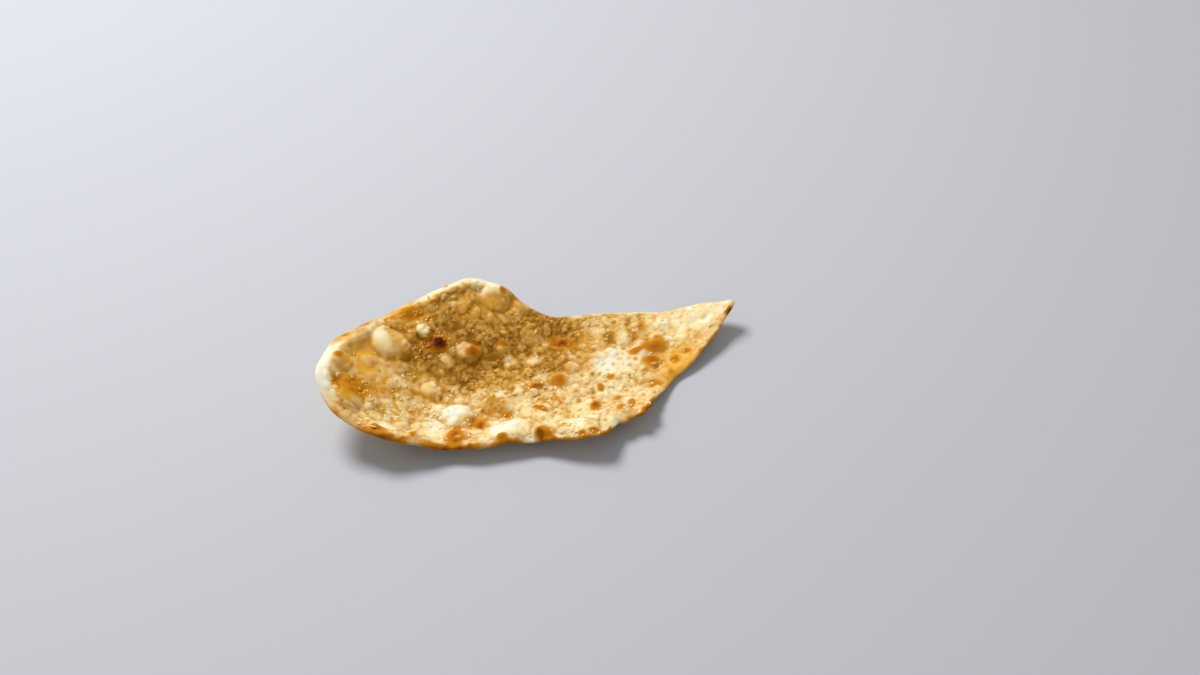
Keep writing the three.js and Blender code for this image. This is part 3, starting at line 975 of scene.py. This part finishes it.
def linear(hex_colour, alpha=1.0):
    """An sRGB hex colour as the linear colour that shaders take."""
    shares = [int(hex_colour[i : i + 2], 16) / 255 for i in (1, 3, 5)]
    return [s / 12.92 if s <= 0.04045 else ((s + 0.055) / 1.055) ** 2.4 for s in shares] + [alpha]


def add_node(tree, kind, inputs=None, stops=(), **settings):
    """Adds a node: its inputs are values or sockets to link, a ramp's stops have hex colours."""
    node = tree.nodes.new(kind)
    for name, value in settings.items():
        setattr(node, name, value)
    for key, value in (inputs or {}).items():
        if isinstance(value, bpy.types.NodeSocket):
            tree.links.new(value, node.inputs[key])
        else:
            node.inputs[key].default_value = value
    for index, (position, *colour) in enumerate(stops):
        elements = node.color_ramp.elements
        stop = elements[index] if index < 2 else elements.new(position)
        stop.position = position
        stop.color = linear(*colour)
    return node


def per_grain(size_mm):
    """The scale of a pattern whose grain is so many millimetres across."""
    return 1 / (size_mm * MM)


def new_material(name):
    material = bpy.data.materials.new(name)
    material.use_nodes = True
    material.node_tree.nodes.clear()
    return material, material.node_tree


def baked_dough(sheet):
    """Leavened wheat dough baked on a clay wall and brushed with butter.

    It gives the eye a cream crust with golden hollows that carry painted shade, a painted golden
    glow inside the round end, floury pale bubbles and brown to burnt caps.
    """
    material, tree = new_material("baked_dough")
    place = add_node(tree, "ShaderNodeTexCoord").outputs["Object"]
    shares = {
        name: add_node(tree, "ShaderNodeAttribute", attribute_name=name).outputs["Fac"]
        for name in ("bake_and_shade", "scorch", "crease_shade", "fleck", "butter")
    }
    # The crust's mottling and pores, and regions of strong and faint mottling: how many millimetres
    # across, the detail and the roughness.
    for name, grain, detail, roughness in (
        ("mottle", 2.2, 4.0, 0.5),
        ("pores", 0.65, 3.0, 0.55),
        ("regions", 10.5, 1.0, 0.5),
    ):
        inputs = {"Scale": per_grain(grain), "Detail": detail, "Roughness": roughness}
        pattern = add_node(tree, "ShaderNodeTexNoise", {"Vector": place, **inputs})
        shares[name] = pattern.outputs["Fac"]
    # Golden flecks of 1 to 3 mm, about 4.2 mm apart, some of them strong and some faint.
    cells = add_node(tree, "ShaderNodeTexVoronoi", {"Vector": place, "Scale": per_grain(4.2)})
    ranges = ("From Min", "From Max", "To Min", "To Max")
    for name, value, numbers, way in (
        ("patches", shares["regions"], (0.36, 0.64, 0.3, 0.8), "LINEAR"),
        ("spots", cells.outputs["Distance"], (0.1, 0.58, 0.58, 0.0), "SMOOTHSTEP"),
        ("strength", cells.outputs["Color"], (0.2, 0.7, 0.0, 1.0), "LINEAR"),
    ):
        inputs = {"Value": value, **dict(zip(ranges, numbers))}
        node = add_node(tree, "ShaderNodeMapRange", inputs, interpolation_type=way)
        shares[name] = node.outputs[0]
    # Each share is worked out from the ones before it: its name, how, and from what.
    for name, operation, *values in (
        ("centred", "SUBTRACT", "mottle", 0.5),
        ("swing", "MULTIPLY_ADD", "bake_and_shade", "patches", 0.36),  # well baked crust is mottled more
        ("calm", "MULTIPLY_ADD", "butter", -0.7, 1.0),  # and crust under butter and painted glow less
        ("mottling", "MULTIPLY", "swing", "calm"),
        ("flecks", "MULTIPLY", "spots", "strength"),
        ("flecked_bake_and_shade", "MULTIPLY_ADD", "flecks", "fleck", "bake_and_shade"),
        ("mottled_bake_and_shade", "MULTIPLY_ADD", "centred", "mottling", "flecked_bake_and_shade"),
        ("butter_glow_share", "MULTIPLY", "butter", 0.88),  # the palest dough stays pale under butter and painted glow
        ("shaded_creases", "MULTIPLY", "crease_shade", 0.6),
        ("patchy", "MULTIPLY_ADD", "mottle", 0.6, 0.7),
        ("mottled_scorch", "MULTIPLY", "scorch", "patchy"),
        ("roughness", "MULTIPLY_ADD", "bake_and_shade", -0.22, 0.7),  # golden crust shines a little more
        ("grain", "MULTIPLY_ADD", "pores", 0.5, "mottle"),
    ):
        inputs = {index: shares.get(value, value) for index, value in enumerate(values)}
        shares[name] = add_node(tree, "ShaderNodeMath", inputs, operation=operation).outputs[0]
    dough = add_node(
        tree,
        "ShaderNodeValToRGB",
        {"Fac": shares["mottled_bake_and_shade"]},
        stops=[
            (0.0, sheet.floury),
            (0.3, sheet.cream),
            (0.46, sheet.biscuit),
            (0.62, sheet.golden),
            (1.0, sheet.deep),
        ],
    )
    # Scorching's ramp gives its colour, and how much of it covers the dough as alpha.
    burn = add_node(
        tree,
        "ShaderNodeValToRGB",
        {"Fac": shares["mottled_scorch"]},
        stops=[
            (0.03, sheet.tan, 0.0),
            (0.29, sheet.tan),
            (0.56, sheet.amber),
            (0.8, sheet.brown),
            (0.97, sheet.char),
        ],
    )
    # Butter and painted glow deepen the dough's colour, creases get painted shade in tan, and
    # scorching covers them all.
    colour = dough.outputs["Color"]
    for share, cover in (
        (shares["butter_glow_share"], linear(sheet.butter)),
        (shares["shaded_creases"], linear(sheet.tan)),
        (burn.outputs["Alpha"], burn.outputs["Color"]),
    ):
        inputs = {"Factor": share, MIX_FIRST: colour, MIX_SECOND: cover}
        colour = add_node(tree, "ShaderNodeMix", inputs, data_type="RGBA").outputs[MIX_RESULT]
    # Scorched crust lets less light into it than pale dough.
    inputs = {0: burn.outputs["Alpha"], 1: -0.4, 2: 0.5}
    translucence = add_node(tree, "ShaderNodeMath", inputs, operation="MULTIPLY_ADD")
    inputs = {"Height": shares["grain"], "Strength": 0.35, "Distance": 0.4 * MM}
    bump = add_node(tree, "ShaderNodeBump", inputs)
    surface = add_node(
        tree,
        "ShaderNodeBsdfPrincipled",
        {
            "Base Color": colour,
            "Roughness": shares["roughness"],
            "Normal": bump.outputs["Normal"],
            "IOR": 1.45,
            "Specular IOR Level": 0.09,
            "Subsurface Weight": translucence.outputs[0],
            "Subsurface Radius": (1.0, 0.88, 0.66),
            "Subsurface Scale": 2.4 * MM,
        },
    )
    add_node(tree, "ShaderNodeOutputMaterial", {"Surface": surface.outputs[0]})
    return material


def minced_garlic(chips):
    """Minced garlic, baked on: soft, yellowish and waxy, and brown where the crust is."""
    material, tree = new_material("minced_garlic")
    toast = add_node(tree, "ShaderNodeAttribute", attribute_name="toast").outputs["Fac"]
    colour = add_node(
        tree,
        "ShaderNodeValToRGB",
        {"Fac": toast},
        stops=[(0.16, chips.pale), (0.54, chips.toasted), (1.0, chips.brown)],
    )
    # Flesh grain of 1.1 mm.
    place = add_node(tree, "ShaderNodeTexCoord").outputs["Object"]
    inputs = {"Vector": place, "Scale": per_grain(1.1), "Detail": 3.0}
    grain = add_node(tree, "ShaderNodeTexNoise", inputs).outputs["Fac"]
    inputs = {"Height": grain, "Strength": 0.25, "Distance": 0.3 * MM}
    bump = add_node(tree, "ShaderNodeBump", inputs)
    surface = add_node(
        tree,
        "ShaderNodeBsdfPrincipled",
        {
            "Base Color": colour.outputs["Color"],
            "Normal": bump.outputs["Normal"],
            "Roughness": 0.6,
            "IOR": 1.42,
            "Specular IOR Level": 0.25,
            "Subsurface Weight": 0.15,
            "Subsurface Radius": (1.0, 0.7, 0.4),
            "Subsurface Scale": 0.8 * MM,
        },
    )
    add_node(tree, "ShaderNodeOutputMaterial", {"Surface": surface.outputs[0]})
    return material


def matt_floor(stage):
    """A smooth matt tabletop, which gives an even pale ground."""
    material, tree = new_material("matt_tabletop")
    inputs = {"Base Color": linear(stage.floor), "Roughness": 0.9}
    surface = add_node(tree, "ShaderNodeBsdfPrincipled", inputs)
    add_node(tree, "ShaderNodeOutputMaterial", {"Surface": surface.outputs[0]})
    return material


def underside_bumps(place):
    """How far the underside stands out, in millimetres."""
    rough = layered(place.x, place.y, UNDERSIDE_GRAIN, 0.25)
    return np.maximum(rough, 0) * smoothstep(0, EDGE_SMOOTH, place.inside)


def paint_crust(half, place, crust, height):
    """Keeps baking with painted shade, butter with painted glow, shade in creases, scorching and
    flecks.
    """
    x, y = place.x, place.y
    around = [
        crust.relief(place.moved(HOLLOW_REACH * math.cos(a), HOLLOW_REACH * math.sin(a)))
        for a in np.linspace(0, 2 * math.pi, HOLLOW_POINTS, endpoint=False)
    ]
    hollow = (sum(around) / len(around) - height) / FULL_HOLLOW
    bake_and_shade = bake_and_shade_at(x, y)
    bake_and_shade = bake_and_shade + blotches_at(x, y, bake_and_shade) - FOLD_LIGHT_AND_SHADE * folds_at(x, y)
    inside = layered(x, y, RIM_WANDER, place.inside)
    for start, end, level, width in RIM_BAKE:
        rim = 1 - smoothstep(0.6 * width, 1.3 * width, inside)
        bake_and_shade = mix((bake_and_shade, level), rim * window(place.turned, start, end))
    butter = butter_and_glow_at(x, y) * smoothstep(0.02, 0.25, bake_and_shade)
    garlic = smoothstep(0.15, 0.9, crust.garlic_lumps(x, y))
    rough = mix((0.4, 1), rough_at(x, y))
    blotchy = strongest(x, y, BLOTCHY)
    # Garlic under the butter is paler than the crust, and in blotchy parts every other lump is.
    bake_and_shade = bake_and_shade + 0.1 * blotchy * rough
    bake_and_shade = mix((bake_and_shade, 0.12 + 0.7 * bake_and_shade), mix((0.6, 1), blotchy) * garlic)
    bake_and_shade = bake_and_shade + 0.36 * blotchy * garlic * (0.5 - crust.paler_lumps(x, y))
    # Painted shade: the crust is painted deeper baked in hollows and paler on lumps, and creases
    # tan.
    paint(half, "bake_and_shade", bake_and_shade + HOLLOW_SHADE * rough * np.clip(hollow, -1, 1))
    paint(half, "crease_shade", hollow * rough * smoothstep(0.1, 0.5, bake_and_shade))
    # The butter attribute also carries the painted glow.
    paint(half, "butter", butter * (1 - 0.5 * garlic))
    paint(half, "scorch", scorch_at(place))
    # Flecks are thick on the pale dough of the right half, and thin at its back and on blisters.
    flecks = smoothstep(-30, 10, x) * (1 - 0.75 * smoothstep(22, 36, y))
    flecks = flecks * smoothstep(2, 6, place.inside) * (1 - 0.8 * stands_at(x, y))
    paint(half, "fleck", flecks * np.clip(1.2 - 1.6 * bake_and_shade, 0, 1))


def paint_underside(half, place):
    """Keeps the same numbers for plain dough with browned spots where it lay on hot clay."""
    x, y = place.x, place.y
    random = np.random.RandomState(UNDERSIDE_SEED)
    spots = scattered(random, 0.95, UNDERSIDE_SPOTS)
    sizes = random.uniform(2.0, 6.5, UNDERSIDE_SPOTS)
    strengths = random.uniform(0.25, 0.7, UNDERSIDE_SPOTS)
    patches = zip(spots.x, spots.y, sizes, 0.8 * sizes, 0 * sizes, strengths)
    browned = strongest(*warped(x, y, UNDERSIDE_WARP), patches)
    under_rim = 0.9 * scorch_at(place) * (place.inside < 4)
    paint(half, "bake_and_shade", layered(x, y, UNDERSIDE_BAKE, 0.36))
    for name in ("crease_shade", "fleck", "butter"):
        paint(half, name, 0 * x)
    paint(half, "scorch", np.maximum(browned, under_rim))


def joined(halves):
    """Makes one closed piece of the two halves."""
    bpy.ops.object.select_all(action="DESELECT")
    for half in halves:
        half.select_set(True)
    bpy.context.view_layer.objects.active = halves[0]
    bpy.ops.object.join()
    bread = bpy.context.object
    bpy.ops.object.mode_set(mode="EDIT")
    bpy.ops.mesh.select_all(action="SELECT")
    bpy.ops.mesh.remove_doubles(threshold=MERGED_WITHIN)
    bpy.ops.object.mode_set(mode="OBJECT")
    bpy.ops.object.shade_smooth()
    return bread


class NAAN_OT_bread(bpy.types.Operator):
    """Models the baked sheet of dough"""

    bl_idname = "naan.bread"
    bl_label = "Bread"

    def execute(self, context):
        sheet = context.scene.naan_sheet
        crust = Crust()
        halves = []
        for name, outward in (("naan_bread", 1), ("naan_underside", -1)):
            half = add_square_grid(name, sheet.cells_long, sheet.cells_across, outward < 0)
            square = vertex_array(half)
            place = Place.of_square(crowded(square[:, 0]), crowded(square[:, 1]))
            middle, up, body = dough_at(place, sheet)
            if outward > 0:
                height = crust.relief(place)
                points = middle + up * (body + height)[:, None]
                paint_crust(half, place, crust, height)
            else:
                bumps = underside_bumps(place)
                points = middle - up * (body - bumps)[:, None]
                points[:, 2] = np.maximum(points[:, 2], 0)
                paint_underside(half, place)
                half.data.flip_normals()
            move_vertices(half, to_frame(points))
            halves.append(half)
        bread = joined(halves)
        bread.data.materials.append(baked_dough(sheet))
        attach(bread, "root")
        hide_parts("naan")
        return {"FINISHED"}


def garlic_lump(kind):
    """One rough lump, one unit long, as an array of points and an array of triangles."""
    bpy.ops.object.select_all(action="DESELECT")
    bpy.ops.mesh.primitive_ico_sphere_add(subdivisions=2, radius=0.5)
    piece = bpy.context.object
    shape = vertex_array(piece)
    faces = np.array([list(p.vertices) for p in piece.data.polygons])
    bpy.ops.object.delete()
    random = np.random.RandomState(LUMP_SEED + kind)
    for _ in range(LUMP_CUTS):
        cut = random.normal(size=3)
        cut /= np.linalg.norm(cut)
        over = np.maximum(shape @ cut - random.uniform(0.15, 0.34), 0)
        shape = shape - 0.92 * over[:, None] * cut
    shape = shape * random.uniform(0.9, 1.1, (len(shape), 1))
    return shape / np.abs(shape).max(axis=0) / 2, faces


def scattered_chips(chips):
    """Where the chips lie on the square, how they are turned and how long they are."""
    pick = drawer(GARLIC_SEED)
    where, turns, lengths = [], [], []
    step = 1
    while len(where) < GARLIC_LARGE:
        across, up = (SPREAD * (2 * ((step * size) % 1.0) - 1) for size in EVEN_STEP)
        place = Place.of_square(np.array([across]), np.array([up]))
        kept = pick() < garlic_at(place.x, place.y)[0]
        turn = 2 * math.pi * pick()
        if kept:
            lengths.append(mix(GARLIC_LENGTH, len(where) / GARLIC_LARGE))
            where.append((across, up))
            turns.append(turn)
        step += 1
    random = np.random.RandomState(SMALL_GARLIC_SEED)
    tries = SMALL_GARLIC_TRIES * chips.count
    tried = random.uniform(-GARLIC_SPREAD, GARLIC_SPREAD, (tries, 2))
    place = Place.of_square(*tried.T)
    likely = small_garlic_at(place.x, place.y)
    kept = np.flatnonzero(random.uniform(0, 1, tries) < likely)[: chips.count - GARLIC_LARGE]
    where = np.concatenate([where, tried[kept]])
    turns = np.concatenate([turns, random.uniform(0, 2 * math.pi, len(kept))])
    shares = random.uniform(0, 1, len(kept)) ** SMALL_GARLIC_LEAN
    sizes = mix((chips.smallest_mm, GARLIC_LENGTH[1]), shares)
    return where, turns, np.concatenate([lengths, sizes])


class NAAN_OT_garlic(bpy.types.Operator):
    """Scatters the chips of minced garlic over the crust"""

    bl_idname = "naan.garlic"
    bl_label = "Garlic"

    def execute(self, context):
        chips = context.scene.naan_garlic
        sheet = context.scene.naan_sheet
        lumps = [garlic_lump(kind) for kind in range(LUMP_KINDS)]
        where, turns, lengths = scattered_chips(chips)
        place = Place.of_square(*where.T)
        middle, up, body = dough_at(place, sheet)
        middle = middle + up * (body + Crust().relief(place))[:, None]
        baked = np.maximum(bake_and_shade_at(place.x, place.y), TOAST_SCORCH * scorch_at(place))
        baked = np.maximum(baked, butter_and_glow_at(place.x, place.y))
        random = np.random.RandomState(CHIP_SEED)
        points, faces, toast = [], [], []
        for index, (centre, out, turn, length) in enumerate(zip(middle, up, turns, lengths)):
            shape, shape_faces = lumps[index % len(lumps)]
            width, height = random.uniform(*GARLIC_WIDTH), random.uniform(*GARLIC_HEIGHT)
            size = np.array([1, width, height]) * length
            stand = Vector((0, 0, 1)).rotation_difference(Vector(out)).to_matrix()
            spin = Matrix.Rotation(turn, 3, "Z")
            turned = (shape * size) @ np.array(stand @ spin).T
            faces.append(shape_faces + index * len(shape))
            points.append(turned + centre - out * GARLIC_SINK * length)
            brown = TOAST_CRUST * baked[index] + TOAST_CHANCE * random.uniform(0, 1) ** 3
            uneven = random.uniform(-0.06, 0.06, len(shape))
            toast.append(brown - TOAST_TOP * shape[:, 2] + uneven)
        mesh = bpy.data.meshes.new("garlic_chips")
        mesh.from_pydata(to_frame(np.concatenate(points)), [], np.concatenate(faces).tolist())
        piece = bpy.data.objects.new("garlic_chips", mesh)
        bpy.context.collection.objects.link(piece)
        paint(piece, "toast", np.concatenate(toast))
        mesh.shade_smooth()
        mesh.materials.append(minced_garlic(chips))
        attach(piece, "root")
        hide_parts("naan")
        return {"FINISHED"}


class NAAN_OT_stage(bpy.types.Operator):
    """Sets the floor, the lights and the camera"""

    bl_idname = "naan.stage"
    bl_label = "Stage"

    def execute(self, context):
        stage = context.scene.naan_stage
        bpy.ops.object.select_all(action="DESELECT")
        below = (0, 0, -FLOOR_GAP * MM)
        bpy.ops.mesh.primitive_plane_add(size=stage.floor_size, location=below)
        floor = context.object
        floor.name = "floor"
        floor.data.materials.append(matt_floor(stage))

        flat = math.cos(stage.key_rise)
        way = Vector(
            (
                flat * math.cos(stage.key_turn),
                flat * math.sin(stage.key_turn),
                math.sin(stage.key_rise),
            )
        )
        bpy.ops.object.light_add(type="AREA", location=way * stage.key_distance)
        key = context.object
        key.name = "key_light"
        key.rotation_euler = (-way).to_track_quat("-Z", "Y").to_euler()
        key.data.shape = "DISK"
        key.data.size = stage.key_size
        key.data.energy = stage.key_power
        key.data.color = KEY_COLOUR

        world = bpy.data.worlds.new("soft_light")
        world.use_nodes = True
        background = world.node_tree.nodes["Background"]
        background.inputs["Color"].default_value = SKY_COLOUR
        background.inputs["Strength"].default_value = stage.sky_strength
        context.scene.world = world

        aim = Vector(CAMERA_AIM) * MM
        distance = MM_PER_PIXEL * LENS / SENSOR * VIEW_SIZE[0] * MM
        rise = math.radians(CAMERA_RISE)
        offset = Vector((0, -math.cos(rise), math.sin(rise))) * distance
        bpy.ops.object.camera_add(location=aim + offset, rotation=(math.pi / 2 - rise, 0, 0))
        camera = context.object
        camera.name = "camera"
        camera.data.lens = LENS
        camera.data.sensor_width = SENSOR
        camera.data.clip_start = NEAREST_SEEN * MM
        context.scene.camera = camera
        context.scene.view_settings.view_transform = "Standard"
        return {"FINISHED"}


SETTINGS = {"naan_sheet": NaanSheet, "naan_garlic": GarlicChips, "naan_stage": StageSettings}
OPERATORS = [NAAN_OT_bread, NAAN_OT_garlic, NAAN_OT_stage]


class NAAN_PT_panel(bpy.types.Panel):
    """Lists the pieces and the stage"""

    bl_idname = "NAAN_PT_panel"
    bl_label = "Garlic naan"
    bl_space_type = "VIEW_3D"
    bl_region_type = "UI"
    bl_category = "Naan"

    def draw(self, context):
        for settings, operator in zip(SETTINGS, OPERATORS):
            box = self.layout.box()
            group = getattr(context.scene, settings)
            for name in group.__annotations__:
                box.prop(group, name)
            box.operator(operator.bl_idname)


CLASSES = [*SETTINGS.values(), *OPERATORS, NAAN_PT_panel]


def register():
    for cls in CLASSES:
        bpy.utils.register_class(cls)
    for name, group in SETTINGS.items():
        setattr(bpy.types.Scene, name, PointerProperty(type=group))


def unregister():
    for name in SETTINGS:
        delattr(bpy.types.Scene, name)
    for cls in reversed(CLASSES):
        bpy.utils.unregister_class(cls)


def main():
    register()
    bpy.ops.naan.bread()
    bpy.ops.naan.garlic()
    bpy.ops.naan.stage()


if __name__ == "__main__":
    main()
